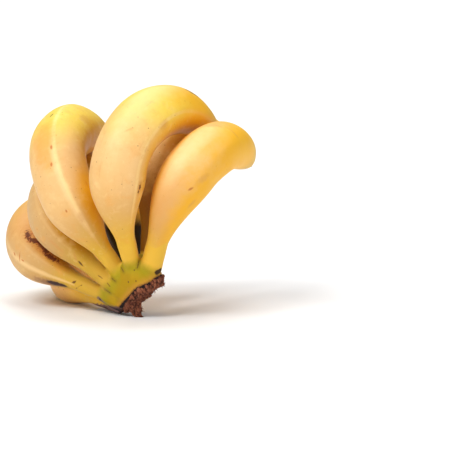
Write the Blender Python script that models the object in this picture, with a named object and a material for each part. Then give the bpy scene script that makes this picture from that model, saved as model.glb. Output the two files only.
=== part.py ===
"""A hand of eight bananas on its crown, lying on a table.

The crown is the pad that joined the fruit to the plant's stalk. Its own frame has three
directions: across the fan of fruit, palmward (the side that every fruit curls to), and up from
the cut. Each fruit leaves the crown in the fan, curls palmward and ends in a dry blossom tip.
Sizes are in millimetres and degrees, and the meshes in metres, +Z up.
"""
import bpy
import bmesh
from collections import namedtuple
from math import cos, pi, radians, sin
from mathutils import Vector

MM = 0.001

# The hand's attitude on the table, and where its crown stands
PALM_BEARING = 54.0
PALM_RISE = 8.0
LEAN = 27.0
CROWN_AT = Vector((9.2, -55.7, 2.7))

# Each fruit: its root in the crown's frame, the way it sets out, how it curls, where one of its
# five ridges runs, in degrees round it from its inner side, and its stem, shoulder and taper
Fruit = namedtuple("Fruit", "number root fan tilt swing turn length radius ridge stem shoulder taper")
FRUITS = [
    Fruit(1, (-27, 0.5, 27), fan=-47, tilt=3, swing=9.5, turn=102, length=164, radius=17.3, ridge=12,
          stem=4.9, shoulder=65, taper=67),
    Fruit(2, (-12.5, -1.5, 28.5), fan=-25.5, tilt=-2.5, swing=7, turn=119, length=157.5, radius=17.4,
          ridge=66, stem=5.2, shoulder=64.5, taper=44),
    Fruit(3, (-4, 1.5, 33), fan=3.5, tilt=-20, swing=-15, turn=122.5, length=170, radius=20.0, ridge=66,
          stem=5.2, shoulder=58, taper=47),
    Fruit(4, (12, -1, 35.5), fan=30.5, tilt=-17.5, swing=5, turn=139, length=179.5, radius=19.9, ridge=46,
          stem=5.7, shoulder=62.5, taper=76),
    Fruit(5, (19.5, 6, 27), fan=51, tilt=1.5, swing=-3, turn=124, length=156, radius=19.4, ridge=8,
          stem=6.2, shoulder=70, taper=68),
    Fruit(6, (5, 25.5, 34.5), fan=23.5, tilt=21, swing=-4, turn=104, length=157, radius=18.4, ridge=60,
          stem=5.2, shoulder=65.5, taper=66.5),
    Fruit(7, (-29.5, 10, 18.3), fan=-57.3, tilt=20, swing=-13.5, turn=95.5, length=148, radius=15.9,
          ridge=40, stem=5.7, shoulder=59.5, taper=66),
    Fruit(8, (-11.5, 20.5, 24), fan=-5, tilt=26.5, swing=0.5, turn=85, length=124, radius=16.0, ridge=30,
          stem=6.5, shoulder=45, taper=60),
]

# A fruit's shape along its length: a thin stem, a shoulder, the full body, a taper to the tip
STEM_FLARE = 0.055
SHOULDER_START = 15.0
TAPER_POWER = 1.45
TIP_SHARE = 0.92
CURL_START = 0.13
CURL_END = 0.9
CURL_EASE = 0.86
RIDGES = 5
RIDGE_DEPTH = 0.07
FRUIT_SIDES = 20
FRUIT_RINGS = 22

# The stems that the crown still holds, and the dry blossom tips
STUB_LENGTH = 16.0
STUB_RINGS = 5
STUB_SIDES = 16
TIP_LENGTH = 4.5
TIP_RADIUS = 4.4
TIP_PROFILE = ((0.0, 0.9), (0.35, 1.0), (1.0, 0.62))
TIP_SIDES = 12
GAP = 0.3
SHARP_ANGLE = 40.0

# The crown's pad above the cut, and the dry torn wood below it
WEB_RADIUS = 5.0
WEB_DROP = 3.0
WEB_DIRECTIONS = [(bearing, rise) for bearing in range(0, 360, 45) for rise in (-60, -20, 20, 60)]
CUT_HEIGHT = 13.3
CUT_SLOPE = 0.27
SKIN_LIP = (-22.0, 4.0, 12.0)
CUT_RIM = [(-17, 3), (-9, -3.5), (0, -5), (9, -4.5), (18, -1.5), (23, 4), (23, 10), (15, 17), (4, 19),
           (-8, 16), (-15, 9)]
TORN_SHARE = 0.88
TORN_DEPTH = 6.5
LOBE_RIM = [(-9, -3.5), (-1, -4.5), (3, 2), (0, 6), (-8, 9), (-13, 6)]
LOBE_START = 1.0
LOBE_CORNER = (-5.0, 2.0, -5.0)

PEEL = (0.80, 0.49, 0.10)
GREEN = (0.47, 0.36, 0.03)
WOOD = (0.10, 0.035, 0.018)
DRY_TIP = (0.045, 0.02, 0.012)


def direction(bearing, rise):
    """The unit vector at a bearing from +X and a rise above the table."""
    flat = cos(radians(rise))
    return Vector((cos(radians(bearing)) * flat, sin(radians(bearing)) * flat, sin(radians(rise))))


PALM = direction(PALM_BEARING, PALM_RISE)
LEVEL = direction(PALM_BEARING - 90, 0)
LIFT = LEVEL.cross(PALM)
UP = LIFT * cos(radians(LEAN)) - LEVEL * sin(radians(LEAN))
ACROSS = LEVEL * cos(radians(LEAN)) + LIFT * sin(radians(LEAN))


def crown_point(across, palmward, up):
    """A place in the crown's frame, in world millimetres."""
    return CROWN_AT + ACROSS * across + PALM * palmward + UP * up


def ease(share):
    """A smooth step from 0 to 1."""
    share = min(max(share, 0.0), 1.0)
    return share * share * (3 - 2 * share)


def curl(share):
    """The share of a fruit's turn that it has made at a share of its length."""
    along = min(max((share - CURL_START) / (CURL_END - CURL_START), 0.0), 1.0)
    return along * (1 - CURL_EASE) + ease(along) * CURL_EASE


def girth(fruit, along):
    """A fruit's outer radius at a distance from its root."""
    stem = fruit.stem + STEM_FLARE * along
    swell = ease((along - SHOULDER_START) / (fruit.shoulder - SHOULDER_START))
    body = stem * (1 - swell) + fruit.radius * swell
    taper = min(max((along - fruit.length + fruit.taper) / fruit.taper, 0.0), 1.0)
    return body * (1 - TIP_SHARE * taper ** TAPER_POWER) ** 0.5


def bearings(fruit):
    """The way a fruit sets out, the way it bends to, and the side between them."""
    fan, tilt, swing = radians(fruit.fan), radians(fruit.tilt), radians(fruit.swing)
    out = (ACROSS * sin(fan) + UP * cos(fan)) * cos(tilt) + PALM * sin(tilt)
    inward = (PALM - out * PALM.dot(out)).normalized()
    bend = inward * cos(swing) + inward.cross(out) * sin(swing)
    return out, bend, out.cross(bend)


def station(fruit, along, steps=60):
    """The centre and the heading of a fruit at a distance from its root."""
    out, bend, side = bearings(fruit)
    centre = crown_point(*fruit.root)
    step = along / steps
    for index in range(steps):
        angle = radians(fruit.turn) * curl((index + 0.5) * step / fruit.length)
        centre = centre + (out * cos(angle) + bend * sin(angle)) * step
    angle = radians(fruit.turn) * curl(along / fruit.length)
    return centre, out * cos(angle) + bend * sin(angle)


def flatness(angle):
    """How far a fruit's outline falls inside a circle, at an angle from one of its ridges."""
    half = pi / RIDGES
    off = abs((angle + half) % (2 * half) - half)
    return RIDGE_DEPTH * (1 - cos(half) / cos(half - off)) / (1 - cos(half))


def ring(bm, fruit, along, radius, sides, ridged=True):
    """A ring of vertices round a fruit, with a ridge on every few of them."""
    centre, heading = station(fruit, along)
    side = bearings(fruit)[2]
    inner = side.cross(heading)
    verts = []
    for index in range(sides):
        turn = 2 * pi * index / sides
        angle = turn + radians(fruit.ridge)
        reach = radius * (1 - flatness(turn)) if ridged else radius
        spoke = (inner * cos(angle) + side * sin(angle)) * reach
        verts.append(bm.verts.new((centre + spoke) * MM))
    return verts


def skin(bm, rings):
    """Faces between the rings, and a flat face on each end."""
    for lower, upper in zip(rings, rings[1:]):
        for index in range(len(lower)):
            after = (index + 1) % len(lower)
            bm.faces.new((lower[index], lower[after], upper[after], upper[index]))
    bm.faces.new(rings[0][::-1])
    bm.faces.new(rings[-1])


def flatten(bm):
    """Cuts the mesh off at the table, and closes it with a flat face."""
    whole = bm.verts[:] + bm.edges[:] + bm.faces[:]
    cut = bmesh.ops.bisect_plane(bm, geom=whole, plane_co=(0, 0, 0), plane_no=(0, 0, -1), clear_outer=True)
    edges = [item for item in cut["geom_cut"] if isinstance(item, bmesh.types.BMEdge)]
    bmesh.ops.holes_fill(bm, edges=edges)


def material(name, colour, roughness):
    """A Principled material."""
    made = bpy.data.materials.new(name)
    made.use_nodes = True
    shader = made.node_tree.nodes["Principled BSDF"]
    shader.inputs["Base Color"].default_value = (*colour, 1)
    shader.inputs["Roughness"].default_value = roughness
    shader.inputs["Metallic"].default_value = 0.0
    return made


def add_object(name, bm, surface):
    """Turns a mesh into an object of that name, shaded smooth up to sharp edges."""
    bmesh.ops.recalc_face_normals(bm, faces=bm.faces[:])
    mesh = bpy.data.meshes.new(name)
    bm.to_mesh(mesh)
    bm.free()
    mesh.materials.append(surface)
    mesh.shade_smooth()
    mesh.set_sharp_from_angle(angle=radians(SHARP_ANGLE))
    made = bpy.data.objects.new(name, mesh)
    bpy.context.collection.objects.link(made)
    return made


def add_fruit(fruit, surface):
    """One fruit, from the end of its stub to the end of its taper."""
    bm = bmesh.new()
    rings = []
    for index in range(FRUIT_RINGS + 1):
        share = index / FRUIT_RINGS
        along = STUB_LENGTH + (fruit.length - STUB_LENGTH) * share
        rings.append(ring(bm, fruit, along, girth(fruit, along), FRUIT_SIDES))
    skin(bm, rings)
    flatten(bm)
    add_object(f"finger_{fruit.number}", bm, surface)


def add_tip(fruit, surface):
    """The dry blossom tip at the end of one fruit."""
    bm = bmesh.new()
    start = fruit.length + GAP
    rings = []
    for share, swell in TIP_PROFILE:
        along = start + TIP_LENGTH * share
        rings.append(ring(bm, fruit, along, TIP_RADIUS * swell, TIP_SIDES, ridged=False))
    skin(bm, rings)
    add_object(f"blossom_tip_{fruit.number}", bm, surface)


def hull_of(points):
    """A mesh of the convex hull of points in millimetres."""
    bm = bmesh.new()
    for point in points:
        bm.verts.new(point * MM)
    bmesh.ops.convex_hull(bm, input=bm.verts[:])
    inner = [vert for vert in bm.verts if not vert.link_faces]
    bmesh.ops.delete(bm, geom=inner, context="VERTS")
    return bm


def cut_point(across, palmward, below=0.0):
    """A place on the plane of the cut, or below it."""
    return crown_point(across, palmward, CUT_HEIGHT + CUT_SLOPE * across - below)


def add_stub(fruit, surface):
    """The start of one fruit's stem, as a tool for the crown to join."""
    bm = bmesh.new()
    rings = []
    for index in range(STUB_RINGS + 1):
        along = (STUB_LENGTH - GAP) * index / STUB_RINGS
        rings.append(ring(bm, fruit, along, girth(fruit, along), STUB_SIDES, ridged=False))
    skin(bm, rings)
    stub = add_object(f"stub_{fruit.number}", bm, surface)
    stub.hide_render = True
    stub.display_type = "WIRE"
    return stub


def add_crown(surface):
    """The pad that spans the fruits' roots, joined to the stub of each stem."""
    points = [cut_point(across, palmward) for across, palmward in CUT_RIM]
    points.append(crown_point(*SKIN_LIP))
    for fruit in FRUITS:
        centre = crown_point(*fruit.root) - bearings(fruit)[0] * WEB_DROP
        points += [centre + direction(bearing, rise) * WEB_RADIUS for bearing, rise in WEB_DIRECTIONS]
    bm = hull_of(points)
    flatten(bm)
    crown = add_object("crown", bm, surface)
    for fruit in FRUITS:
        union = crown.modifiers.new(f"stem_{fruit.number}", "BOOLEAN")
        union.operation = "UNION"
        union.solver = "EXACT"
        union.object = add_stub(fruit, surface)


def add_torn_wood(surface):
    """The dry wood below the cut, with a lobe down to the corner that stands on the table."""
    points = []
    for across, palmward in CUT_RIM:
        points.append(cut_point(across, palmward, GAP))
        points.append(cut_point(across * TORN_SHARE, palmward * TORN_SHARE, TORN_DEPTH))
    bm = hull_of(points)
    flatten(bm)
    wood = add_object("crown_cut", bm, surface)
    points = [cut_point(across, palmward, LOBE_START) for across, palmward in LOBE_RIM]
    bm = hull_of(points + [crown_point(*LOBE_CORNER)])
    flatten(bm)
    lobe = add_object("torn_lobe", bm, surface)
    lobe.hide_render = True
    lobe.display_type = "WIRE"
    union = wood.modifiers.new("lobe", "BOOLEAN")
    union.operation = "UNION"
    union.solver = "EXACT"
    union.object = lobe


for old in list(bpy.data.objects):
    bpy.data.objects.remove(old, do_unlink=True)

peel = material("peel", PEEL, 0.45)
dry_tip = material("dry_tip", DRY_TIP, 0.85)
for fruit in FRUITS:
    add_fruit(fruit, peel)
    add_tip(fruit, dry_tip)
add_crown(material("crown_green", GREEN, 0.5))
add_torn_wood(material("torn_wood", WOOD, 0.95))
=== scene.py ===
import bpy
import bmesh
import random
import numpy as np
from collections import namedtuple
from math import atan2, cos, exp, pi, radians, sin, sqrt
from mathutils import Matrix, Vector, noise
from mathutils.bvhtree import BVHTree


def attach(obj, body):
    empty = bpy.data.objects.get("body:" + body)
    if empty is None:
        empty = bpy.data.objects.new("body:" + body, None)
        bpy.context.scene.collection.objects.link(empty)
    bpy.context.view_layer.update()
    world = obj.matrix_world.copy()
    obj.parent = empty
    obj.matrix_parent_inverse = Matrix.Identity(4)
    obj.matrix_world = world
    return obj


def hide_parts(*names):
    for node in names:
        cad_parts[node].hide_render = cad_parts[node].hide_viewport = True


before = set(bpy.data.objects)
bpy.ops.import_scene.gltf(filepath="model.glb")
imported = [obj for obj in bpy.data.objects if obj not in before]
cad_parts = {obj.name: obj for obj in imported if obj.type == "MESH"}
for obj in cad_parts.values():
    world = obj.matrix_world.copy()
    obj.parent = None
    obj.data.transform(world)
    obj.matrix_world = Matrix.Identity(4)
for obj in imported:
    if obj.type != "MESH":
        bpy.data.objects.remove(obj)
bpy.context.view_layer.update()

# The eight fruits. Each is soft flesh in a peel with five soft ridges: a thin stem, a shoulder, a
# full body and a taper. It grew from the crown, curls to the palm side and ripened to yellow, with
# small brown specks, scuffs along its ridges and a few bruises. Lengths are in millimetres.
MM = 0.001
PALM_BEARING = 54.0
PALM_RISE = 8.0
LEAN = 27.0
CROWN_AT = Vector((9.2, -55.7, 2.7))

# Root is in the crown's frame, and fan, tilt, swing and turn are degrees. Ridge is the angle of the
# first ridge, keen the number of the sharpest one, which also gets the painted ridge highlight, or -1
# for none, and tone how light the peel is painted: partly its own lightness and partly painted light
# and shade that make some fruits lighter and others darker.
# Shoulder is where the body is full, and taper is the length of the narrowing end.
FRUIT_VALUES = "number root fan tilt swing turn length radius ridge keen tone stem shoulder taper"
Fruit = namedtuple("Fruit", FRUIT_VALUES)
FRUITS = [
    Fruit(1, (-27, 0.5, 27), fan=-47, tilt=3, swing=9.5, turn=102, length=164, radius=17.3, ridge=12,
          keen=-1, tone=0.76, stem=4.9, shoulder=65, taper=67),
    Fruit(2, (-12.5, -1.5, 28.5), fan=-25.5, tilt=-2.5, swing=7, turn=119, length=157.5, radius=17.4,
          ridge=66, keen=-1, tone=0.74, stem=5.2, shoulder=64.5, taper=44),
    Fruit(3, (-4, 1.5, 33), fan=3.5, tilt=-20, swing=-15, turn=122.5, length=170, radius=20.0, ridge=66,
          keen=2, tone=0.92, stem=5.2, shoulder=58, taper=47),
    Fruit(4, (12, -1, 35.5), fan=30.5, tilt=-17.5, swing=5, turn=139, length=179.5, radius=19.9, ridge=46,
          keen=3, tone=0.96, stem=5.7, shoulder=62.5, taper=76),
    Fruit(5, (19.5, 6, 27), fan=51, tilt=1.5, swing=-3, turn=124, length=156, radius=19.4, ridge=8,
          keen=-1, tone=1.0, stem=6.2, shoulder=70, taper=68),
    Fruit(6, (5, 25.5, 34.5), fan=23.5, tilt=21, swing=-4, turn=104, length=157, radius=18.4, ridge=60,
          keen=-1, tone=0.92, stem=5.2, shoulder=65.5, taper=66.5),
    Fruit(7, (-29.5, 10, 18.3), fan=-57.3, tilt=20, swing=-13.5, turn=95.5, length=148, radius=15.9,
          ridge=40, keen=-1, tone=1.2, stem=5.7, shoulder=59.5, taper=66),
    Fruit(8, (-11.5, 20.5, 24), fan=-5, tilt=26.5, swing=0.5, turn=85, length=124, radius=16.0, ridge=30,
          keen=-1, tone=0.9, stem=6.5, shoulder=45, taper=60),
]

STEM_FLARE = 0.055
SHOULDER_START = 15.0
TAPER_POWER = 1.45
TIP_SHARE = 0.92
TIP_ROUND = 3.0
TIP_PINCH = 0.4
CURL_START = 0.13
CURL_END = 0.9
CURL_EASE = 0.86
STRIDE = 0.5
STRIDES_A_STEP = 8

RIDGES = 5
RIDGE_DEPTH = 0.07
RIDGE_AT_STEM = 0.35
RIDGE_START = 6.0
RIDGE_FULL = 45.0
KEEN_EDGE = 0.11
SOFT_EDGE = 0.26

FRUIT_START = 9.0
FRUIT_SIDES = 90
FRUIT_RINGS = 130
SKIN_ROUND = 19.0
UNDULATION = 0.22
UNDULATION_SCALE = 28.0
UNDULATION_START = 14.0
UNDULATION_FADE = 20.0
NOISE_APART = 70.0
SHELTER_STEP = 5.0
SHELTER_BALLS = 26


def direction(bearing, rise):
    """The unit vector at a bearing from +X and a rise above the table."""
    flat = cos(radians(rise))
    return Vector((cos(radians(bearing)) * flat, sin(radians(bearing)) * flat, sin(radians(rise))))


PALM = direction(PALM_BEARING, PALM_RISE)
LEVEL = direction(PALM_BEARING - 90, 0)
LIFT = LEVEL.cross(PALM)
UP = LIFT * cos(radians(LEAN)) - LEVEL * sin(radians(LEAN))
ACROSS = LEVEL * cos(radians(LEAN)) + LIFT * sin(radians(LEAN))


def crown_point(across, palmward, up):
    """A place in the crown's frame, in world millimetres."""
    return CROWN_AT + ACROSS * across + PALM * palmward + UP * up


def ease(share):
    """A smooth step from 0 to 1."""
    share = min(max(share, 0.0), 1.0)
    return share * share * (3 - 2 * share)


def curl(share):
    """The share of a fruit's turn that it has made at a share of its length."""
    along = min(max((share - CURL_START) / (CURL_END - CURL_START), 0.0), 1.0)
    return along * (1 - CURL_EASE) + ease(along) * CURL_EASE


def girth(fruit, along):
    """A fruit's outer radius at a distance from its root, rounded in at the tip."""
    stem = fruit.stem + STEM_FLARE * along
    swell = ease((along - SHOULDER_START) / (fruit.shoulder - SHOULDER_START))
    body = stem * (1 - swell) + fruit.radius * swell
    taper = min(max((along - fruit.length + fruit.taper) / fruit.taper, 0.0), 1.0)
    last = max((along - fruit.length + TIP_ROUND) / TIP_ROUND, 0.0)
    return body * sqrt(1 - TIP_SHARE * taper ** TAPER_POWER) * sqrt(1 - TIP_PINCH * last * last)


def bearings(fruit):
    """The way a fruit sets out, the way it bends to, and the side between them."""
    fan, tilt, swing = radians(fruit.fan), radians(fruit.tilt), radians(fruit.swing)
    out = (ACROSS * sin(fan) + UP * cos(fan)) * cos(tilt) + PALM * sin(tilt)
    inward = (PALM - out * PALM.dot(out)).normalized()
    bend = inward * cos(swing) + inward.cross(out) * sin(swing)
    return out, bend, out.cross(bend)


def centre_line(fruit, start, end, count):
    """Centres and headings of a fruit at even steps between two distances from its root."""
    out, bend, side = bearings(fruit)

    def heading_at(along):
        angle = radians(fruit.turn) * curl(along / fruit.length)
        return out * cos(angle) + bend * sin(angle)

    walked = min(start, 0.0)
    centre = crown_point(*fruit.root) + out * walked
    while walked < start - STRIDE / 50:
        centre = centre + heading_at(walked + STRIDE / 2) * STRIDE
        walked += STRIDE
    stride = (end - start) / (count * STRIDES_A_STEP)
    line = []
    for index in range(count * STRIDES_A_STEP + 1):
        along = start + stride * index
        if index % STRIDES_A_STEP == 0:
            line.append((centre.copy(), heading_at(along)))
        centre = centre + heading_at(along + stride / 2) * stride
    return line


def reach(fruit, along, angle):
    """The distance from a fruit's middle line to its peel, at an angle from its inner side."""
    half = pi / RIDGES
    past_ridge = angle - radians(fruit.ridge) + half
    off = abs(past_ridge % (2 * half) - half)
    which = int(past_ridge // (2 * half)) % RIDGES
    softness = KEEN_EDGE if which == fruit.keen else SOFT_EDGE
    off = min(sqrt(off * off + softness * softness), half)
    flat = RIDGE_DEPTH * (1 - cos(half) / cos(half - off)) / (1 - cos(half))
    grown = ease((along - RIDGE_START) / (RIDGE_FULL - RIDGE_START))
    return girth(fruit, along) * (1 - flat * (RIDGE_AT_STEM + (1 - RIDGE_AT_STEM) * grown))


def finish_mesh(name, bm, material, smooth=True):
    """An object at the origin, in metres, from a bmesh in millimetres."""
    bmesh.ops.scale(bm, vec=(MM, MM, MM), verts=bm.verts[:])
    mesh = bpy.data.meshes.new(name)
    bm.to_mesh(mesh)
    bm.free()
    mesh.materials.append(material)
    if smooth:
        mesh.shade_smooth()
    piece = bpy.data.objects.new(name, mesh)
    bpy.context.collection.objects.link(piece)
    return piece


def keep(bm, name, numbers):
    """Keeps a number on each point of a mesh, for its material."""
    layer = bm.verts.layers.float.new(name)
    for vert, number in zip(bm.verts, numbers):
        vert[layer] = number


def unit_rod(sides, rings):
    """A closed rod of radius 1 from z = 0 to 1, with its turn and its length as a UV map."""
    bm = bmesh.new()
    bmesh.ops.create_cone(bm, cap_ends=True, segments=sides, radius1=1, radius2=1, depth=1)
    bmesh.ops.translate(bm, verts=bm.verts[:], vec=(0, 0, 0.5))
    rails = [edge for edge in bm.edges if abs(edge.verts[0].co.z - edge.verts[1].co.z) > 0.5]
    bmesh.ops.subdivide_edges(bm, edges=rails, cuts=rings - 1, use_grid_fill=True)
    skin = bm.loops.layers.uv.new("skin")
    for face in bm.faces:
        turns = [(atan2(loop.vert.co.y, loop.vert.co.x) / (2 * pi)) % 1 for loop in face.loops]
        wraps = max(turns) - min(turns) > 0.5
        for loop, turn in zip(face.loops, turns):
            if wraps and turn < 0.5:
                turn += 1
            loop[skin].uv = (turn, loop.vert.co.z)
    return bm


def grow(bm, fruit, start, end, rings, radius):
    """Bends a unit rod along a fruit from start to end, with a radius for each place and angle."""
    side = bearings(fruit)[2]
    line = centre_line(fruit, start, end, rings)
    for vert in bm.verts:
        step = min(max(round(vert.co.z * rings), 0), rings)
        along = start + (end - start) * step / rings
        angle = atan2(vert.co.y, vert.co.x)
        centre, heading = line[step]
        inner = side.cross(heading)
        vert.co = centre + (inner * cos(angle) + side * sin(angle)) * radius(along, angle)
    skin = bm.loops.layers.uv["skin"]
    for face in bm.faces:
        for loop in face.loops:
            loop[skin].uv.y = (start + (end - start) * loop[skin].uv.y) * MM


def paint(red, green, blue):
    """A colour as the eye sees it, from 0 to 255, as Blender's linear colour."""
    return tuple((c / 255 / 12.92 if c < 10.3 else ((c / 255 + 0.055) / 1.055) ** 2.4)
                 for c in (red, green, blue)) + (1.0,)


class Field:
    """A value that varies over a surface. Python's operators on it add Math nodes."""

    def __init__(self, finish, socket):
        self.finish = finish
        self.socket = socket

    def math(self, operation, *inputs):
        return self.finish.node("ShaderNodeMath", {"operation": operation}, inputs)

    def __add__(self, other):
        return self.math("ADD", self, other)

    __radd__ = __add__

    def __mul__(self, other):
        return self.math("MULTIPLY", self, other)

    __rmul__ = __mul__

    def __sub__(self, other):
        return self.math("SUBTRACT", self, other)

    def __rsub__(self, other):
        return self.math("SUBTRACT", other, self)

    def __truediv__(self, other):
        return self.math("DIVIDE", self, other)

    def __pow__(self, other):
        return self.math("POWER", self, other)

    def __mod__(self, other):
        return self.math("FLOORED_MODULO", self, other)

    def cosine(self):
        return self.math("COSINE", self)

    def sine(self):
        return self.math("SINE", self)

    def clamped(self):
        """The value held between 0 and 1."""
        return self.math("MINIMUM", self.math("MAXIMUM", self, 0.0), 1.0)

    def rise(self, low, high):
        """0 below low, 1 above high, with a smooth step between."""
        values = {"Value": self, "From Min": low, "From Max": high}
        return self.finish.node("ShaderNodeMapRange", {"interpolation_type": "SMOOTHSTEP"}, values)

    def fall(self, low, high):
        """1 below low, 0 above high."""
        return 1 - self.rise(low, high)


class Finish:
    """A material and the nodes that give it its look."""

    def __init__(self, name):
        self.material = bpy.data.materials.new(name)
        self.material.use_nodes = True
        self.tree = self.material.node_tree
        self.shader = self.tree.nodes["Principled BSDF"]

    def node(self, kind, settings=None, values=None, output=0):
        """Adds a node with its settings, then its sockets' values or links."""
        made = self.tree.nodes.new(kind)
        for name, value in (settings or {}).items():
            setattr(made, name, value)
        pairs = values.items() if isinstance(values, dict) else enumerate(values or [])
        for key, value in pairs:
            self.put(made.inputs[key], value)
        return Field(self, made.outputs[output])

    def put(self, socket, value):
        """Sets a socket's value, or links a field to it."""
        if isinstance(value, Field):
            self.tree.links.new(value.socket, socket)
        else:
            socket.default_value = value

    def blend(self, under, over, share, way="MIX"):
        """One colour over another, by a share."""
        settings = {"data_type": "RGBA", "blend_type": way}
        return self.node("ShaderNodeMix", settings, {0: share, 6: under, 7: over}, output=2)

    def vector(self, operation, inputs, output=0):
        """A vector worked out from others."""
        return self.node("ShaderNodeVectorMath", {"operation": operation}, inputs, output)

    def place(self):
        """The object's own coordinates, in millimetres."""
        spot = self.node("ShaderNodeTexCoord", output=3)
        return self.vector("SCALE", {0: spot, "Scale": 1 / MM})

    def line(self, place, start, end):
        """The distance of a place from a straight line between two places."""
        way = Vector(end) - Vector(start)
        off = self.vector("SUBTRACT", [place, tuple(start)])
        reached = self.vector("DOT_PRODUCT", [off, tuple(way)], output=1)
        share = (reached * (1 / way.length_squared)).clamped()
        step = self.vector("SCALE", {0: tuple(way), "Scale": share})
        return self.vector("LENGTH", [self.vector("SUBTRACT", [off, step])], output=1)

    def attribute(self, name):
        """A number kept on the mesh's points."""
        return self.node("ShaderNodeAttribute", {"attribute_name": name}, output=2)

    def cloud(self, vector, size, detail=3.0, rough=0.55):
        """Noise from 0 to 1 with features of a size in the vector's own unit."""
        values = {"Vector": vector, "Scale": 1.0 / size, "Detail": detail, "Roughness": rough}
        return self.node("ShaderNodeTexNoise", {}, values)

    def cells(self, vector, size, output=0):
        """How far each place is from the nearest of many scattered points, or that point's colour."""
        return self.node("ShaderNodeTexVoronoi", {}, {"Vector": vector, "Scale": 1 / size}, output)

    def wear(self, colour, roughness, height, strength, depth):
        """Gives the shader its varying colour, roughness and relief, in millimetres."""
        self.put(self.shader.inputs["Base Color"], colour)
        self.put(self.shader.inputs["Roughness"], roughness)
        values = {"Strength": strength, "Distance": depth * MM, "Height": height}
        self.put(self.shader.inputs["Normal"], self.node("ShaderNodeBump", {}, values))

    def soften(self, weight, spread, depth):
        """Lets light a little way into living skin, by a depth in millimetres."""
        self.shader.inputs["Subsurface Weight"].default_value = weight
        self.shader.inputs["Subsurface Radius"].default_value = spread
        self.shader.inputs["Subsurface Scale"].default_value = depth * MM
        self.shader.inputs["Specular IOR Level"].default_value = SKIN_GLOSS


# Peel colours: tan, peach and lemon are partly ripening and partly painted light, and gold partly painted
# shade
LEMON = paint(247, 212, 88)
PEACH = paint(238, 192, 128)
GOLD = paint(232, 172, 44)
TAN = paint(226, 176, 104)
STEM_YELLOW = paint(230, 182, 62)
# Painted shade where other fruits take the light: deep gold, then deep orange
SHADE_GOLD = paint(226, 160, 20)
HOLLOW_SHADE = paint(216, 140, 8)
SHADE = paint(112, 58, 4)
AMBER = paint(232, 160, 70)
# Painted highlight for the ridges
RIDGE_HIGHLIGHT = paint(250, 218, 146)
DULL_PATCH = paint(214, 158, 84)
FINE_BLOOM = paint(255, 232, 170)
BROAD_BLOOM = paint(250, 224, 160)
SPECK = paint(150, 88, 48)
RUST = paint(196, 122, 58)
OLD_GOLD = paint(206, 160, 52)
TIP_BROWN = paint(104, 70, 40)
SKIN_GLOSS = 0.16
# How light each fruit's stem is painted, partly painted light and shade that make the first three stems
# darker
STEM_TONES = (0.80, 0.76, 0.92, 1.0, 1.0, 1.0, 1.0, 1.0)
BROAD = 34.0
PATCH = 11.0
MOTTLE = 3.4
FINE = 1.6
DUST = 1.5
STREAK = 1.1
STREAK_LONG = 0.06
RIPE_WOBBLE = 36.0

# A mark lies at a distance along a fruit and at an angle round it from its inner side. Long and wide
# are its half sizes in millimetres, and lean turns it, in degrees.
Mark = namedtuple("Mark", "kind along around long wide lean")
MarkKind = namedtuple("MarkKind", "colour strength ragged grain soft")
MARK_KINDS = {
    "bruise": MarkKind(paint(92, 44, 24), 0.9, 2.0, 1.5, 0.25),
    "rust": MarkKind(paint(168, 92, 44), 0.75, 2.2, 1.8, 0.5),
    "halo": MarkKind(paint(196, 130, 66), 0.55, 0.9, 2.5, 0.6),
    "plum": MarkKind(paint(140, 96, 76), 0.75, 0.7, 2.5, 0.45),
    "gilt": MarkKind(paint(240, 176, 22), 0.85, 0.5, 14.0, 0.7),
    "blush": MarkKind(paint(212, 156, 88), 0.7, 0.5, 14.0, 0.7),
    # Painted highlight
    "light": MarkKind(paint(252, 220, 160), 0.45, 0.5, 8.0, 0.8),
    # Painted shade, nearly black, where the stems lie deep in the hollow
    "deep_shade": MarkKind(paint(22, 9, 3), 0.97, 0.3, 7.0, 0.3),
    "shade": MarkKind(SHADE, 0.85, 0.4, 9.0, 0.5),
    "stain": MarkKind(paint(56, 38, 44), 0.95, 0.5, 3.0, 0.22),
    "dash": MarkKind(paint(92, 52, 34), 0.9, 0.5, 1.2, 0.3),
    "amber": MarkKind(AMBER, 0.6, 0.8, 6.0, 0.55),
    "scuff": MarkKind(paint(206, 142, 78), 0.34, 1.0, 2.2, 0.6),
    "spot": MarkKind(paint(196, 112, 52), 0.85, 0.5, 0.9, 0.5),
    "fleck": MarkKind(paint(112, 120, 40), 0.85, 0.6, 1.0, 0.35),
}
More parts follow.
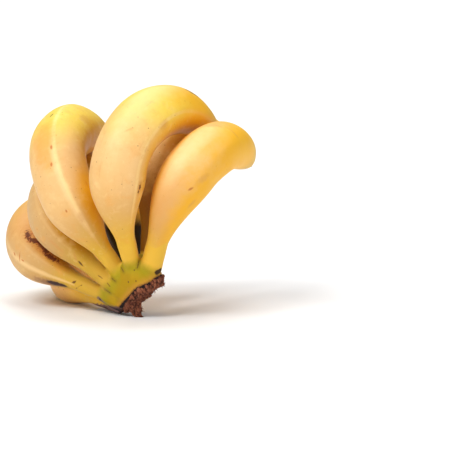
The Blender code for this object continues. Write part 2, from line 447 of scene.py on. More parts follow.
# Marks of the pale highlight kind are painted highlights, and the shade marks and the nearly black marks
# on the eighth fruit's stem are painted shade; the rest are the peel's own marks
MARKS = {
    1: [Mark("blush", 86, 236, 26, 16, 0), Mark("light", 44, 190, 30, 1.6, 0),
        Mark("halo", 50, 257, 21, 4.5, 0), Mark("rust", 63, 251, 5.5, 2.2, 15),
        Mark("rust", 55, 258, 6, 2.4, -20), Mark("rust", 42, 257, 8, 2.4, 0),
        Mark("bruise", 64, 251, 4.2, 1.5, 20), Mark("bruise", 57, 254, 4.4, 2.1, -30),
        Mark("bruise", 50, 260, 5.4, 1.5, 0), Mark("bruise", 45, 258, 3.4, 1.8, 30),
        Mark("bruise", 39, 256, 4.4, 2.1, -15), Mark("plum", 34, 153, 10, 3.4, 0),
        Mark("stain", 29, 157, 7.5, 2.0, 0), Mark("dash", 16.5, 209, 1.9, 0.8, -35),
        Mark("spot", 62, 194, 1.3, 0.7, 30), Mark("spot", 57, 198, 3.2, 0.4, 70),
        Mark("spot", 54, 196, 1.2, 0.5, 0), Mark("scuff", 79, 206, 4, 0.6, 80),
        Mark("scuff", 70, 240, 4, 0.5, 40), Mark("scuff", 75, 222, 3, 0.5, 80)],
    2: [Mark("dash", 22, 190, 2.2, 0.7, 15), Mark("scuff", 40, 186, 6, 1.2, 5),
        Mark("scuff", 27, 200, 3, 0.8, 40)],
    3: [Mark("amber", 89, 187, 13, 8, 0), Mark("light", 62, 207, 26, 2.4, 0),
        Mark("spot", 85, 204, 1.2, 0.9, 0), Mark("spot", 76, 197, 1.0, 0.8, 30),
        Mark("spot", 52, 188, 0.8, 0.7, 0), Mark("scuff", 45, 208, 3.0, 1.8, 0),
        Mark("scuff", 120, 262, 5, 4, 30), Mark("fleck", 110, 197, 1.7, 0.8, 30),
        Mark("scuff", 63, 256, 10, 2.0, 5), Mark("spot", 60, 257, 2.6, 0.9, 0),
        Mark("gilt", 34, 264, 30, 6, 0)],
    4: [Mark("gilt", 150, 228, 26, 20, 0), Mark("halo", 57, 273, 4.5, 2.2, 5),
        Mark("bruise", 58, 273, 2.0, 1.3, 10), Mark("bruise", 55, 271, 1.1, 0.7, 0),
        Mark("dash", 146, 203, 5.5, 0.9, 0), Mark("dash", 141, 197, 3.5, 0.6, 0),
        Mark("scuff", 104, 268, 4, 3, 20), Mark("light", 104, 196, 26, 9, 0),
        Mark("scuff", 88, 214, 3, 0.5, 50)],
    5: [Mark("blush", 44, 205, 24, 14, 0), Mark("gilt", 108, 244, 34, 24, 0),
        Mark("gilt", 50, 262, 36, 12, 0), Mark("light", 76, 174, 15, 6, 0),
        Mark("scuff", 68, 236, 4, 2.2, 25), Mark("scuff", 53, 253, 3, 1.4, 20),
        Mark("amber", 98, 150, 12, 5, 60), Mark("scuff", 97, 166, 6, 0.7, 75),
        Mark("scuff", 102, 208, 5, 0.6, 80), Mark("scuff", 94, 160, 5, 0.9, 60),
        Mark("spot", 60, 226, 1.6, 0.7, 40)],
    6: [Mark("shade", 18, 190, 30, 15, 0), Mark("scuff", 70, 120, 12, 4, 10),
        Mark("dash", 98, 60, 3, 0.8, 30), Mark("spot", 88, 150, 2, 1.2, 0)],
    7: [Mark("scuff", 34, 118, 10, 4, 0), Mark("scuff", 80, 200, 14, 5, 10),
        Mark("dash", 60, 170, 4, 0.8, 20), Mark("halo", 92, 330, 8, 4, 0),
        Mark("bruise", 92, 330, 4, 1.6, 10)],
    8: [Mark("deep_shade", 19, 174, 22, 9, 0), Mark("deep_shade", 19, 280, 20, 9, 0),
        Mark("scuff", 60, 20, 10, 3, 10), Mark("dash", 84, 320, 3, 0.8, 20),
        Mark("amber", 96, 60, 9, 5, 0)],
}

# Two fruits are a little fuller on a side that another fruit almost touches, which closes a chink
Hump = namedtuple("Hump", "height along spread around")
HUMPS = {2: Hump(1.6, 124, 14, 180), 8: Hump(1.8, 21, 6, 312)}


def blot(finish, fruit, mark, turn, along, place):
    """Where one mark lies on a fruit, from 0 to 1, with a ragged edge."""
    kind = MARK_KINDS[mark.kind]
    lean = radians(mark.lean)
    round_it = 2 * pi * girth(fruit, mark.along)
    off_along = along - mark.along
    off_round = ((turn - mark.around / 360 + 0.5) % 1 - 0.5) * round_it
    length = (off_along * cos(lean) + off_round * sin(lean)) / mark.long
    width = (off_round * cos(lean) - off_along * sin(lean)) / mark.wide
    edge = (finish.cloud(place, kind.grain, detail=4.0, rough=0.7) - 0.5) * kind.ragged * 2
    far = (length * length + width * width) ** 0.5 + edge
    return far.fall(1 - kind.soft, 1 + kind.soft) * kind.strength


def grey(level):
    """A neutral colour that darkens what it multiplies."""
    return (level, level, level, 1.0)


def peel(fruit):
    """The ripe peel of one fruit."""
    finish = Finish(f"peel_{fruit.number}")
    skin = finish.node("ShaderNodeUVMap", {"uv_map": "skin"})
    turn = finish.node("ShaderNodeSeparateXYZ", {}, [skin], output=0)
    along = finish.node("ShaderNodeSeparateXYZ", {}, [skin], output=1) * (1 / MM)
    angle = turn * (2 * pi)
    place = finish.place()
    broad = finish.cloud(place, BROAD, detail=2.0)
    patchy = finish.cloud(place, PATCH, detail=4.0)
    fine = finish.cloud(place, FINE, detail=4.0)
    mottle = finish.cloud(place, MOTTLE, detail=5.0, rough=0.65)
    ring = [angle.cosine() * SKIN_ROUND, angle.sine() * SKIN_ROUND, along * STREAK_LONG]
    streak = finish.cloud(finish.node("ShaderNodeCombineXYZ", {}, ring), STREAK, detail=3.0)
    wobble = (broad - 0.5) * RIPE_WOBBLE

    # Tan and peach low down and lemon higher up, partly ripening and partly painted light: darker
    # low down, lemon higher up where more light falls, and peach where the peel reflects its pale
    # surroundings. Gold on the inner side, partly painted shade there, and on the stem. Painted shade
    # where other fruits take the light: deep gold, then deep orange where they take the most
    shelter = finish.attribute("shelter") + (patchy - 0.5) * 0.06
    inner = (angle.cosine() + (patchy - 0.5) * 0.5).rise(-0.35, 0.35)
    past_stem = along.rise(15, 32)
    body = finish.blend(TAN, PEACH, (along + wobble).rise(35, 70))
    body = finish.blend(body, LEMON, (along + wobble).rise(78, 118))
    body = finish.blend(body, GOLD, inner * 0.75)
    colour = finish.blend(STEM_YELLOW, body, (along + wobble * 0.4).rise(18, 46))
    colour = finish.blend(colour, SHADE_GOLD, shelter.rise(0.16, 0.56) * past_stem * 0.75)
    colour = finish.blend(colour, HOLLOW_SHADE, shelter.rise(0.42, 0.92) * past_stem * 0.8)
    # Each fruit made lighter or darker, partly its own tone and partly painted light and shade
    tone = finish.blend(grey(STEM_TONES[fruit.number - 1]), grey(fruit.tone), past_stem)
    colour = finish.blend(colour, tone, 1.0, way="MULTIPLY")

    # A painted highlight runs along the ridges, on the keen one alone where a fruit has one and
    # faintly on all of them where it has none, and the ridges are rubbed in places
    keen = (angle - radians(fruit.ridge + 360 / RIDGES * fruit.keen)).cosine().rise(0.6, 0.9)
    shown = keen if fruit.keen >= 0 else 0.25
    ridge = ((angle - radians(fruit.ridge)) * RIDGES).cosine().rise(0.90, 1.0) * shown
    colour = finish.blend(colour, RIDGE_HIGHLIGHT, ridge * (along.rise(20, 50) * 0.36))
    worn = (patchy - 0.5).rise(0.02, 0.12) * (streak - 0.5).rise(0.0, 0.12)
    colour = finish.blend(colour, RUST, ridge * worn * 0.28)

    # Uneven ripening, dull patches and pale bloom
    colour = finish.blend(colour, AMBER, patchy.rise(0.56, 0.72) * 0.26)
    colour = finish.blend(colour, DULL_PATCH, mottle.rise(0.52, 0.72) * 0.22)
    colour = finish.blend(colour, FINE_BLOOM, mottle.fall(0.28, 0.46) * 0.14)
    colour = finish.blend(colour, BROAD_BLOOM, patchy.fall(0.30, 0.44) * 0.15)
    colour = finish.blend(colour, RUST, streak.rise(0.58, 0.74) * patchy.rise(0.42, 0.6) * 0.2)

    # Sugar specks of several sizes, and finer dots between them
    pick = finish.node("ShaderNodeSeparateColor", {}, [finish.cells(place, MOTTLE, output=1)], output=0)
    size = pick.rise(0.55, 1.0) * 0.11
    specks = (finish.cells(place, MOTTLE) - size).fall(0.0, 0.05) * pick.rise(0.55, 0.6)
    colour = finish.blend(colour, SPECK, specks * 0.6)
    dust = finish.cells(place, DUST).fall(0.05, 0.16)
    colour = finish.blend(colour, RUST, dust * patchy.rise(0.46, 0.62) * 0.5)

    for mark in MARKS[fruit.number]:
        cover = blot(finish, fruit, mark, turn, along, place)
        colour = finish.blend(colour, MARK_KINDS[mark.kind].colour, cover)

    # The far end goes dull gold and then brown
    dull = (along + wobble * 0.3).rise(fruit.length - 32, fruit.length - 12)
    colour = finish.blend(colour, OLD_GOLD, dull * 0.6)
    end = (along + (fine - 0.5) * 3 + (streak - 0.5) * 8).rise(fruit.length - 5.5, fruit.length - 0.5)
    colour = finish.blend(colour, TIP_BROWN, end)

    roughness = 0.46 + (patchy - 0.5) * 0.16 + specks * 0.15 + end * 0.3
    height = streak * 0.5 + fine * 0.5 - specks * 0.6 + mottle * 0.8 + patchy * 1.6
    finish.wear(colour, roughness, height, strength=0.25, depth=0.25)
    finish.soften(0.12, (1.0, 0.55, 0.2), 3.0)
    return finish.material


def sheltered(bm, fruit):
    """How much of its sky the other fruits take from each point of a fruit, from 0 to 1."""
    bm.normal_update()
    spots = np.array([vert.co for vert in bm.verts])
    normals = np.array([vert.normal for vert in bm.verts])
    total = np.zeros(len(spots))
    for other in FRUITS:
        if other.number == fruit.number:
            continue
        line = centre_line(other, SHELTER_STEP, other.length - SHELTER_STEP, SHELTER_BALLS)
        most = np.zeros(len(spots))
        for step, (centre, heading) in enumerate(line):
            along = SHELTER_STEP + (other.length - 2 * SHELTER_STEP) * step / SHELTER_BALLS
            way = np.array(centre) - spots
            far = np.linalg.norm(way, axis=1)
            facing = (normals * way).sum(axis=1) / far
            taken = np.clip(facing, 0, 1) * np.clip(girth(other, along) / far, 0, 1) ** 2
            most = np.maximum(most, taken)
        total += most
    return np.clip(total, 0, 1)


for fruit in FRUITS:
    def skin_radius(along, angle, fruit=fruit):
        round_it = cos(angle) * SKIN_ROUND + fruit.number * NOISE_APART
        spot = Vector((along, round_it, sin(angle) * SKIN_ROUND)) / UNDULATION_SCALE
        swell = noise.noise(spot) * UNDULATION * ease((along - UNDULATION_START) / UNDULATION_FADE)
        if fruit.number in HUMPS:
            hump = HUMPS[fruit.number]
            rise = exp(-((along - hump.along) / hump.spread) ** 2)
            swell += hump.height * rise * max(cos(angle - radians(hump.around)), 0.0)
        return reach(fruit, along, angle) + swell

    bm = unit_rod(FRUIT_SIDES, FRUIT_RINGS)
    grow(bm, fruit, FRUIT_START, fruit.length, FRUIT_RINGS, skin_radius)
    for vert in bm.verts:
        vert.co.z = max(vert.co.z, 0.0)
    # How much light the other fruits take from each point, which the peel's painted shade follows
    keep(bm, "shelter", sheltered(bm, fruit))
    piece = finish_mesh(f"fruit_{fruit.number}", bm, peel(fruit))
    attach(piece, "root")
    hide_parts(f"finger_{fruit.number}")

# The crown. It is the living pad that joined the hand to the stalk, in one piece with the eight
# stems: firm yellow-green tissue, ribbed where each stem runs down into it, with thin dark brown
# lines where the stems part, painted shade round them and on the back row's stems, and a dried
# brown edge along the cut.
WEB_RADIUS = 4.6
WEB_DROP = 3.0
WEB_END = 7.0
WEB_FADE = 5.0
PAD_GRAIN = 0.35
PAD_GRAIN_SIZE = 7.0
PAD_GRAIN_FADE = 4.0
CUT_HEIGHT = 13.3
CUT_SLOPE = 0.27
CUT_RIM = [(-17, 3), (-9, -3.5), (0, -5), (9, -4.5), (18, -1.5), (23, 4), (23, 10), (15, 17), (4, 19),
           (-8, 16), (-15, 9)]
CUT_NORMAL = (ACROSS * CUT_SLOPE - UP).normalized()
SKIN_LIP = (-22.0, 4.0, 12.0)
RIM_INSET = 0.96
RIM_SPARE = 4.0
SAG = 3.2
SAG_START = 7.0
SAG_WIDTH = 12.0
SAG_FADE = 12.0
STEM_BACK = -22.0
STEM_END = 21.0
STEM_RINGS = 30
STEM_SIDES = 40
STEM_STEPS = 86
STEM_NARROWING = 0.012
STEM_CORE = 2.0
HANDOVER = 16.0
HANDOVER_WIDTH = 5.0
HANDOVER_DEPTH = 0.2
CROWN_VOXEL = 0.8
CROWN_SMOOTH = 10

# How much darker the pad is than its paint, how far each stem's green runs up, and how dark the
# back row's stems are painted where they face out of their hollow, as painted shade: brown on the
# sixth, and nearly black on the eighth
CROWN_TONE = 0.84
GREEN_ENDS = (6.0, 1.0, -2.0, 0.0, 0.5, 0.0, 4.0, 0.0)
HOLLOW_DEPTHS = {5: 0.45, 7: 1.0}
HOLLOW_FACING = 0.9
HOLLOW_START = -2.0
HOLLOW_FADE = 6.0
TONE_START = -4.0
TONE_FADE = 9.0

PAD_OLIVE = paint(186, 148, 8)
PAD_GOLD = paint(200, 160, 16)
STEM_GREEN = paint(176, 162, 24)
CUT_ORANGE = paint(216, 150, 56)
CUT_BROWN = paint(140, 84, 40)
CUT_BLACK = paint(30, 16, 18)
LIP_GREY = paint(132, 98, 88)
LIP_DARK = paint(72, 46, 44)
# Painted shade, nearly black, on the eighth fruit's stem
BLACK_SHADE = paint(24, 10, 3)
# Painted shade round the lines where the stems part
NOTCH_SHADE = paint(120, 90, 20)

# The dried lip at the crown's left end: how high it reaches, and where it fades
LIP_HEIGHT = 7.0
LIP_CORNER = -12.0
LIP_SLOPE = 0.35
LIP_FADE = 9.0
LIP_END = -9.0
LIP_END_FADE = 5.0

# Places on the crown, as pixels of a 453 by 453 picture taken from the camera below
PHOTO_SIDE = 453
MM_PER_PIXEL = 0.66
CROWN_PIXEL = (143, 314)
CAMERA_RISE = 8.0
RIGHT = Vector((1, 0, 0))
ABOVE = Vector((0, sin(radians(CAMERA_RISE)), cos(radians(CAMERA_RISE))))
AWAY = Vector((0, cos(radians(CAMERA_RISE)), -sin(radians(CAMERA_RISE))))
NOTCHES = [((139.0, 261.0), (137.6, 267.8)), ((121.6, 267.4), (123.6, 271.4)),
           ((111.8, 278.2), (115.2, 281.2)), ((105.2, 290.0), (109.8, 292.8))]
DASHES = [((98.2, 275.6), (102.3, 278.4)), ((107.2, 283.2), (109.8, 286.4)),
          ((75.2, 288.8), (81.0, 285.4))]
CROWN_DOTS = [((134.5, 270.0), (134.7, 270.2)), ((128.5, 282.0), (128.7, 282.2)),
              ((136.0, 281.0), (136.2, 281.2))]
LIP_PATCHES = [((98.5, 299.0), (102.5, 302.0)), ((108.0, 308.5), (117.0, 311.5))]
LIP_CRACKS = [((99.5, 299.5), (109.0, 306.6)), ((109.0, 306.6), (119.0, 311.0))]
SCAR = [((157.4, 272.2), (160.4, 270.4))]

# Strokes are drawn between two such places: half width and soft edge in millimetres, then colour
Stroke = namedtuple("Stroke", "paths wide soft colour strength")
STROKES = [
    Stroke(NOTCHES, 0.05, 0.5, paint(78, 42, 14), 0.85),
    Stroke(DASHES, 0.05, 0.45, paint(112, 56, 28), 0.8),
    Stroke(CROWN_DOTS, 0.25, 0.5, paint(86, 50, 28), 0.85),
    Stroke(LIP_PATCHES, 1.3, 0.9, paint(128, 100, 96), 0.85),
    Stroke(LIP_CRACKS, 0.3, 0.9, paint(38, 22, 28), 0.95),
    Stroke(SCAR, 1.4, 1.0, paint(44, 24, 12), 0.95),
]


def cut_point(across, palmward, below=0.0):
    """A place on the plane of the cut, or below it."""
    return crown_point(across, palmward, CUT_HEIGHT + CUT_SLOPE * across - below)


def sag(spot):
    """How far the ragged cut droops below its plane at a place, in millimetres."""
    across = (spot - CROWN_AT).dot(ACROSS)
    near = ease(1 + (spot - cut_point(0, 0)).dot(CUT_NORMAL) / SAG_FADE)
    return SAG * ease((across - SAG_START) / SAG_WIDTH) * near


def hull(bm, points):
    """Adds the convex hull of points in millimetres."""
    verts = [bm.verts.new(point) for point in points]
    bmesh.ops.convex_hull(bm, input=verts)
    loose = [vert for vert in verts if vert.is_valid and not vert.link_faces]
    bmesh.ops.delete(bm, geom=loose, context="VERTS")


def remeshed(bm, voxel, smoothing):
    """One closed skin round all the shapes of a mesh, in millimetres, smoothed."""
    mesh = bpy.data.meshes.new("remesh")
    bmesh.ops.recalc_face_normals(bm, faces=bm.faces[:])
    bm.to_mesh(mesh)
    bm.free()
    holder = bpy.data.objects.new("remesh", mesh)
    bpy.context.collection.objects.link(holder)
    skin = holder.modifiers.new("skin", "REMESH")
    skin.mode = "VOXEL"
    skin.voxel_size = voxel
    soften = holder.modifiers.new("soften", "SMOOTH")
    soften.factor = 0.5
    soften.iterations = smoothing
    made = bmesh.new()
    made.from_object(holder, bpy.context.evaluated_depsgraph_get())
    bpy.data.objects.remove(holder)
    return made


def stem_radius(fruit, along, angle):
    """The radius of a stem, a hair outside the fruit before the handover and inside after it."""
    inside = min(max((along - HANDOVER) / HANDOVER_WIDTH, -1.0), 1.0)
    return reach(fruit, max(along, 0.0), angle) - HANDOVER_DEPTH * inside


def along_stems(spots, stem_lines):
    """How far along its nearest stem each place lies, and which stem that is."""
    nearest = np.full(len(spots), np.inf)
    along = np.zeros(len(spots))
    owner = np.zeros(len(spots), dtype=int)
    for order, line in enumerate(stem_lines):
        for step, (centre, heading) in enumerate(line):
            far = np.linalg.norm(spots - np.array(centre), axis=1)
            closer = far < nearest
            nearest[closer] = far[closer]
            along[closer] = STEM_BACK + (STEM_END - STEM_BACK) * step / STEM_STEPS
            owner[closer] = order
    return along, owner


def dryness(spot):
    """How dry the skin is at a place: dry at the lip, living above it and to its right."""
    local = spot - CROWN_AT
    across, up = local.dot(ACROSS), local.dot(UP)
    low = ease(1 - (up - LIP_HEIGHT + (across - LIP_CORNER) * LIP_SLOPE) / LIP_FADE)
    return low * ease((LIP_END - across) / LIP_END_FADE)


def seen(tree, pixel):
    """The point of a mesh that shows at a pixel of the picture, in millimetres."""
    across, down = pixel
    spot = CROWN_AT + (RIGHT * (across - CROWN_PIXEL[0]) + ABOVE * (CROWN_PIXEL[1] - down)) * MM_PER_PIXEL
    return tree.ray_cast(spot - AWAY * 500, AWAY)[0] or tree.find_nearest(spot)[0]


def crown_finish(tree):
    """The crown's living skin, its creases drawn as dark lines with painted shade round them, its dried
    edge, and painted shade on the back row's stems.
    """
    finish = Finish("crown_skin")
    place = finish.place()
    along = finish.attribute("stem_mm")
    above_cut = finish.attribute("cut_mm")
    dried = finish.attribute("dried")
    broad = finish.cloud(place, BROAD, detail=2.0)
    patchy = finish.cloud(place, PATCH, detail=4.0)
    fine = finish.cloud(place, FINE, detail=4.0)
    speckle = finish.cloud(place, 0.8, detail=2.0)

    # Olive pad, green where the stems begin, and stem yellow past that
    wobble = (broad - 0.5) * 6 + (patchy - 0.5) * 4
    colour = finish.blend(PAD_OLIVE, PAD_GOLD, patchy.rise(0.4, 0.65))
    colour = finish.blend(colour, STEM_GREEN, (along + wobble).rise(-10, -3) * 0.75)
    colour = finish.blend(colour, STEM_YELLOW, (along + wobble).rise(-3.5, 4.5))

    # Orange, brown and black towards the cut, and grey-brown where the lip has dried
    colour = finish.blend(colour, CUT_ORANGE, (above_cut + (patchy - 0.5) * 6).fall(1.5, 6.0) * 0.6)
    colour = finish.blend(colour, CUT_BROWN, (above_cut + (fine - 0.5) * 2.4).fall(1.4, 3.0) * 0.75)
    colour = finish.blend(colour, CUT_BLACK, (above_cut + (fine - 0.5) * 1.8).fall(1.2, 1.8))
    colour = finish.blend(colour, LIP_GREY, (dried + (fine - 0.5) * 0.9).rise(0.42, 0.62))
    colour = finish.blend(colour, LIP_DARK, (dried + (speckle - 0.5) * 1.4).rise(0.7, 0.9))

    # Each stem lighter or darker past the pad as on its fruit, partly painted light and shade
    tone = finish.attribute("tone")
    shade = finish.node("ShaderNodeCombineXYZ", {}, [tone, tone, tone])
    colour = finish.blend(colour, shade, 1.0, way="MULTIPLY")
    # Painted shade on the back row's stems where they face out of the hollow: brown, then nearly black
    hollow = finish.attribute("hollow") + (patchy - 0.5) * 0.15
    colour = finish.blend(colour, SHADE, hollow.rise(0.08, 0.4) * 0.85)
    colour = finish.blend(colour, BLACK_SHADE, hollow.rise(0.5, 0.7) * 0.97)

    ragged = (fine - 0.5) * 0.9 + (speckle - 0.5) * 0.5
    dents = 0.0
    for stroke in STROKES:
        for start, end in stroke.paths:
            far = finish.line(place, seen(tree, start), seen(tree, end)) + ragged
            cover = far.fall(stroke.wide, stroke.wide + stroke.soft)
            colour = finish.blend(colour, stroke.colour, cover * stroke.strength)
            dents = cover + dents
    # Painted shade round each line where the stems part
    for start, end in NOTCHES:
        far = finish.line(place, seen(tree, start), seen(tree, end)) + ragged
        colour = finish.blend(colour, NOTCH_SHADE, far.fall(0.5, 2.4) * 0.4)

    roughness = 0.42 + fine * 0.1 + dried * 0.35
    finish.wear(colour, roughness, fine + speckle * 0.4 - dents * 1.2, strength=0.4, depth=0.4)
    finish.soften(0.1, (1.0, 0.6, 0.2), 2.0)
    return finish.material


bm = bmesh.new()
ball = [direction(bearing, rise) for bearing in range(0, 360, 30) for rise in (-70, -40, -10, 20, 50, 80)]
points = [cut_point(across * RIM_INSET, palmward * RIM_INSET, RIM_SPARE) for across, palmward in CUT_RIM]
points.append(crown_point(*SKIN_LIP))
for fruit in FRUITS:
    centre = crown_point(*fruit.root) - bearings(fruit)[0] * WEB_DROP
    points += [centre + spoke * WEB_RADIUS for spoke in ball]
hull(bm, points)
for fruit in FRUITS:
    stem = unit_rod(STEM_SIDES, STEM_RINGS)

    def stem_skin(along, angle, fruit=fruit):
        return stem_radius(fruit, along, angle) * (1 + STEM_NARROWING * min(along, 0.0))

    grow(stem, fruit, STEM_BACK, STEM_END, STEM_RINGS, stem_skin)
    stem_mesh = bpy.data.meshes.new("stem")
    stem.to_mesh(stem_mesh)
    stem.free()
    bm.from_mesh(stem_mesh)
bm = remeshed(bm, CROWN_VOXEL, CROWN_SMOOTH)

# The pad gets a little unevenness, and the stems keep their true roundness past it
stem_lines = [centre_line(fruit, STEM_BACK, STEM_END, STEM_STEPS) for fruit in FRUITS]
stem_along, stem_owner = along_stems(np.array([vert.co for vert in bm.verts]), stem_lines)
for vert, along, owner in zip(bm.verts, stem_along, stem_owner):
    if along <= WEB_END:
        grain = noise.noise(vert.co / PAD_GRAIN_SIZE) * PAD_GRAIN
        vert.co += vert.normal * grain * ease((WEB_END - along) / PAD_GRAIN_FADE)
        continue
    fruit = FRUITS[owner]
    share = (along - STEM_BACK) / (STEM_END - STEM_BACK)
    centre, heading = stem_lines[owner][round(share * STEM_STEPS)]
    side = bearings(fruit)[2]
    inner = side.cross(heading)
    spoke = vert.co - centre
    along_exact = along + spoke.dot(heading)
    spoke -= heading * spoke.dot(heading)
    if spoke.length < STEM_CORE:
        continue
    angle = atan2(spoke.dot(side), spoke.dot(inner))
    target = spoke.normalized() * stem_radius(fruit, along_exact, angle)
    vert.co += (target - spoke) * ease((along - WEB_END) / WEB_FADE)

# The cut
cut_place = cut_point(0, 0)
whole = bm.verts[:] + bm.edges[:] + bm.faces[:]
bmesh.ops.bisect_plane(bm, geom=whole, plane_co=cut_place, plane_no=CUT_NORMAL, clear_outer=True)
rim = [edge for edge in bm.edges if edge.is_boundary]
bmesh.ops.holes_fill(bm, edges=rim)
for vert in bm.verts:
    vert.co.z = max(vert.co.z, 0.0)
cut_now = [-(vert.co - cut_place).dot(CUT_NORMAL) for vert in bm.verts]
for vert in bm.verts:
    vert.co -= UP * sag(vert.co)
bm.normal_update()

# What the crown's material reads at each point, with where it paints shade on the back row's stems
stem_along, stem_owner = along_stems(np.array([vert.co for vert in bm.verts]), stem_lines)
green_now = [along + GREEN_ENDS[owner] for along, owner in zip(stem_along, stem_owner)]
hollow_now = []
tone_now = []
for vert, along, owner in zip(bm.verts, green_now, stem_owner):
    outward = ease(HOLLOW_FACING - vert.normal.dot(PALM)) * ease((along - HOLLOW_START) / HOLLOW_FADE)
    hollow_now.append(HOLLOW_DEPTHS.get(owner, 0.0) * outward)
    # Past the pad each stem takes its fruit's stem lightness, partly painted light and shade
    past_pad = ease((along - TONE_START) / TONE_FADE)
    tone_now.append(CROWN_TONE + (STEM_TONES[owner] - CROWN_TONE) * past_pad)
keep(bm, "stem_mm", green_now)
keep(bm, "cut_mm", cut_now)
keep(bm, "hollow", hollow_now)
keep(bm, "tone", tone_now)
keep(bm, "dried", [dryness(vert.co) for vert in bm.verts])
skin = crown_finish(BVHTree.FromBMesh(bm))
crown = finish_mesh("crown_pad", bm, skin)
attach(crown, "root")
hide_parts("crown")

# The torn wood on the cut. It is the dry brown pulp and fibre left where the hand was torn and cut
# from the stalk, rough as husk, and its lowest corner stands on the table.
TORN_TOP_SHARE = 0.97
TORN_TOP = 0.6
TORN_SHARE = 0.88
TORN_DEPTH = 3.6
LOBE_RIM = [(-9, -3.5), (-1, -4.5), (3, 2), (0, 6), (-8, 9), (-13, 6)]
LOBE_START = 1.0
LOBE_CORNER = (-5.0, 2.0, -4.4)
TORN_VOXEL = 0.45
TORN_SMOOTH = 2
CHUNK_WIDE = 2.2
CHUNK_LONG = 5.0
CHUNK_BEND = 0.3
CHUNK_BEND_SIZE = 2.0
CRACK_WIDTH = 0.28
CRACK_DEPTH = 0.9
TORN_SWELL = 0.35
TORN_ROUGH = 0.55
TORN_ROUGH_SIZE = 3.0
TORN_LEVEL = 0.6
TORN_GRIT = 0.2
TORN_GRIT_SIZE = 0.9
FIBRES = 300
FIBRE_LONG = (0.8, 2.2)
FIBRE_THICK = (0.14, 0.34)
FIBRE_OUT = (0.3, 1.0)
FIBRE_DROOP = (0.0, 1.2)
FIBRE_STRAY = 0.7
FIBRE_OFF_TABLE = 0.2
FIBRE_OFF_CROWN = 0.3
HUSK_BROWN = paint(96, 46, 32)
HUSK_TAN = paint(156, 92, 64)
HUSK_PALE = paint(204, 146, 112)
# Painted shade for the pits and the cracks
HUSK_PIT = paint(44, 20, 16)
HUSK_CRACK = paint(28, 12, 10)
random.seed(7)


def torn_finish():
    """Dry, dark, fibrous tissue."""
    finish = Finish("torn_wood")
    place = finish.place()
    coarse = finish.cloud(place, 3.2, detail=5.0, rough=0.7)
    grit = finish.cloud(place, 0.7, detail=4.0, rough=0.7)
    crack = (finish.attribute("crack") + (grit - 0.5) * 0.6).rise(0.35, 0.85)
    colour = finish.blend(HUSK_BROWN, HUSK_TAN, coarse.rise(0.38, 0.62))
    colour = finish.blend(colour, HUSK_PALE, grit.rise(0.54, 0.70) * 0.7)
    # Painted shade: darker in the pits of the grain, and darker still in the cracks
    colour = finish.blend(colour, HUSK_PIT, grit.fall(0.30, 0.42) * 0.85)
    colour = finish.blend(colour, HUSK_CRACK, crack * 0.85)
    finish.wear(colour, 0.9 - grit * 0.15, coarse + grit * 0.8, strength=0.9, depth=0.9)
    finish.shader.inputs["Specular IOR Level"].default_value = 0.25
    return finish.material


torn = torn_finish()
bm = bmesh.new()
points = []
for across, palmward in CUT_RIM:
    points.append(cut_point(across * TORN_TOP_SHARE, palmward * TORN_TOP_SHARE, -TORN_TOP))
    points.append(cut_point(across * TORN_SHARE, palmward * TORN_SHARE, TORN_DEPTH))
hull(bm, points)
lobe = [cut_point(across, palmward, LOBE_START) for across, palmward in LOBE_RIM]
hull(bm, lobe + [crown_point(*LOBE_CORNER)])
bm = remeshed(bm, TORN_VOXEL, TORN_SMOOTH)
bm.normal_update()
cracks = []
for vert in bm.verts:
    spot = vert.co
    level = Vector((spot.dot(PALM), spot.dot(ACROSS), 0.0)) / CHUNK_WIDE
    chunk = level + Vector((0.0, 0.0, spot.dot(UP) / CHUNK_LONG))
    chunk += Vector((CHUNK_BEND, CHUNK_BEND, CHUNK_BEND)) * noise.noise(spot / CHUNK_BEND_SIZE)
    nearest, second = noise.voronoi(chunk)[0][:2]
    crack = 1 - min((second - nearest) / CRACK_WIDTH, 1.0)
    terrain = noise.hetero_terrain(spot / TORN_ROUGH_SIZE, 1.0, 2.0, 4, TORN_LEVEL)
    rough = (terrain - TORN_LEVEL) * TORN_ROUGH
    grit = noise.noise(spot / TORN_GRIT_SIZE) * TORN_GRIT
    cracks.append(crack)
    vert.co += vert.normal * (TORN_SWELL + rough + grit - crack * CRACK_DEPTH) - UP * sag(spot)
    vert.co.z = max(vert.co.z, 0.0)
keep(bm, "crack", cracks)
roots = [(face.calc_center_median(), face.normal.copy()) for face in bm.faces]
husk = finish_mesh("torn_wood", bm, torn)
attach(husk, "root")
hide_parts("crown_cut")

# Loose fibres stand out of it
bm = bmesh.new()
for root, outward in random.sample(roots, FIBRES):
    lay = outward * random.uniform(*FIBRE_OUT) - UP * random.uniform(*FIBRE_DROOP)
    lay += Vector([random.uniform(-FIBRE_STRAY, FIBRE_STRAY) for axis in range(3)])
    lay.normalize()
    long = random.uniform(*FIBRE_LONG)
    thick = random.uniform(*FIBRE_THICK)
    middle = root + lay * long * 0.5
    in_the_table = middle.z + lay.z * long * 0.5 < FIBRE_OFF_TABLE
    in_the_crown = (middle - cut_place).dot(CUT_NORMAL) < FIBRE_OFF_CROWN
    if in_the_table or in_the_crown:
        continue
    turn = lay.to_track_quat("Z", "Y").to_matrix().to_4x4()
    bmesh.ops.create_cone(bm, cap_ends=True, segments=4, radius1=thick, radius2=thick * 0.3, depth=long,
                          matrix=Matrix.Translation(middle) @ turn)
fibres = finish_mesh("torn_fibres", bm, torn)
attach(fibres, "root")

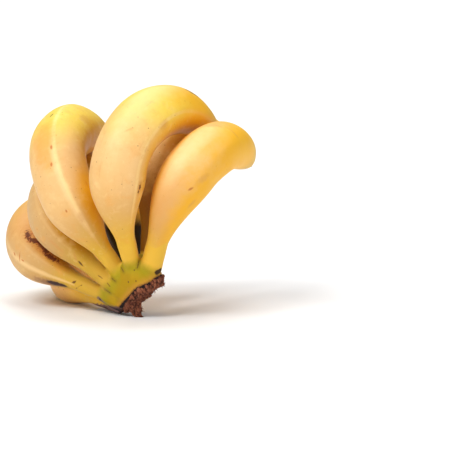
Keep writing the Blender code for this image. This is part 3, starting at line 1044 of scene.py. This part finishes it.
# The blossom tips. Each is the dry black scar at a fruit's end where its flower fell off, five
# lobed and cracked, set a little way into the end.
TIP_LENGTH = 4.6
TIP_RADIUS = 4.4
TIP_SUNK = 0.8
TIP_LOBES = 0.07
TIP_LUMPS = 0.12
TIP_LUMPS_LONG = 0.6
TIP_LUMPS_ROUND = 3.0
TIP_APART = 9.0
TIP_ROUNDING = 0.86
TIP_FOOT = 0.92
TIP_FLARE = 0.1
TIP_SIDES = 40
TIP_RINGS = 12
SCAR_BLACK = paint(38, 24, 18)
SCAR_BROWN = paint(92, 68, 50)
SCAR_PALE = paint(140, 112, 84)


def tip_finish():
    """Dry blossom scar, nearly black with grey-brown edges."""
    finish = Finish("blossom_scar")
    place = finish.place()
    coarse = finish.cloud(place, 2.2, detail=5.0, rough=0.7)
    grit = finish.cloud(place, 0.6, detail=3.0, rough=0.7)
    colour = finish.blend(SCAR_BLACK, SCAR_BROWN, coarse.rise(0.42, 0.66))
    colour = finish.blend(colour, SCAR_PALE, grit.rise(0.58, 0.74) * 0.4)
    finish.wear(colour, 0.8 + grit * 0.15, coarse + grit * 0.6, strength=0.8, depth=0.5)
    return finish.material


scar = tip_finish()
for fruit in FRUITS:
    def tip_skin(along, angle, fruit=fruit):
        share = (along - fruit.length + TIP_SUNK) / (TIP_LENGTH + TIP_SUNK)
        lobes = 1 + TIP_LOBES * cos(5 * angle + fruit.number) * share
        round_in = sqrt(max(1 - (share * TIP_ROUNDING) ** 4, 0.0))
        turned = Vector((0.0, cos(angle), sin(angle))) * TIP_LUMPS_ROUND
        spot = turned + Vector((along * TIP_LUMPS_LONG, 0.0, fruit.number * TIP_APART))
        lump = 1 + TIP_LUMPS * noise.noise(spot)
        return TIP_RADIUS * lobes * round_in * lump * (TIP_FOOT + TIP_FLARE * share)

    bm = unit_rod(TIP_SIDES, TIP_RINGS)
    grow(bm, fruit, fruit.length - TIP_SUNK, fruit.length + TIP_LENGTH, TIP_RINGS, tip_skin)
    piece = finish_mesh(f"blossom_scar_{fruit.number}", bm, scar)
    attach(piece, "root")
    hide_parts(f"blossom_tip_{fruit.number}")

# The table: a plain pale floor under plain soft studio light.
FLOOR_SIZE = 12.0
bm = bmesh.new()
bmesh.ops.create_grid(bm, x_segments=1, y_segments=1, size=FLOOR_SIZE / MM)
table = Finish("table")
table.shader.inputs["Base Color"].default_value = (0.9, 0.9, 0.9, 1)
table.shader.inputs["Roughness"].default_value = 0.9
floor = finish_mesh("table", bm, table.material, smooth=False)

world = bpy.data.worlds.new("studio")
world.use_nodes = True
world.node_tree.nodes["Background"].inputs["Color"].default_value = (1, 1, 1, 1)
world.node_tree.nodes["Background"].inputs["Strength"].default_value = 0.2
bpy.context.scene.world = world


def soft_light(name, place, aim, size, power):
    """A square soft light at a place in metres, turned to an aim."""
    lamp = bpy.data.lights.new(name, "AREA")
    lamp.size = size
    lamp.energy = power
    holder = bpy.data.objects.new(name, lamp)
    holder.location = place
    holder.rotation_euler = (Vector(aim) - Vector(place)).to_track_quat("-Z", "Y").to_euler()
    bpy.context.collection.objects.link(holder)


HAND_MIDDLE = (0.0, 0.0, 0.08)
soft_light("key", (-2.2, -2.6, 3.8), HAND_MIDDLE, 2.4, 170)
soft_light("top", (0.2, 0.4, 4.4), HAND_MIDDLE, 2.4, 85)
soft_light("back", (0.0, 3.4, 3.0), (0.0, 3.2, 0.0), 2.6, 60)
soft_light("fill", (3.0, -2.6, 2.2), HAND_MIDDLE, 2.0, 58)
soft_light("low", (-2.6, -2.8, 0.5), HAND_MIDDLE, 1.6, 20)
bpy.context.scene.view_settings.view_transform = "Standard"

# The camera, level with the fruit and a little above it, with a long lens
CAMERA_FAR = 4.0
SENSOR = 36
middle = PHOTO_SIDE / 2
aim = CROWN_AT + (RIGHT * (middle - CROWN_PIXEL[0]) + ABOVE * (CROWN_PIXEL[1] - middle)) * MM_PER_PIXEL
lens = bpy.data.cameras.new("camera")
lens.sensor_width = SENSOR
lens.lens = SENSOR * CAMERA_FAR / (PHOTO_SIDE * MM_PER_PIXEL * MM)
lens.clip_end = 60
camera = bpy.data.objects.new("camera", lens)
camera.location = aim * MM - AWAY * CAMERA_FAR
camera.rotation_euler = AWAY.to_track_quat("-Z", "Y").to_euler()
bpy.context.collection.objects.link(camera)
bpy.context.scene.camera = camera
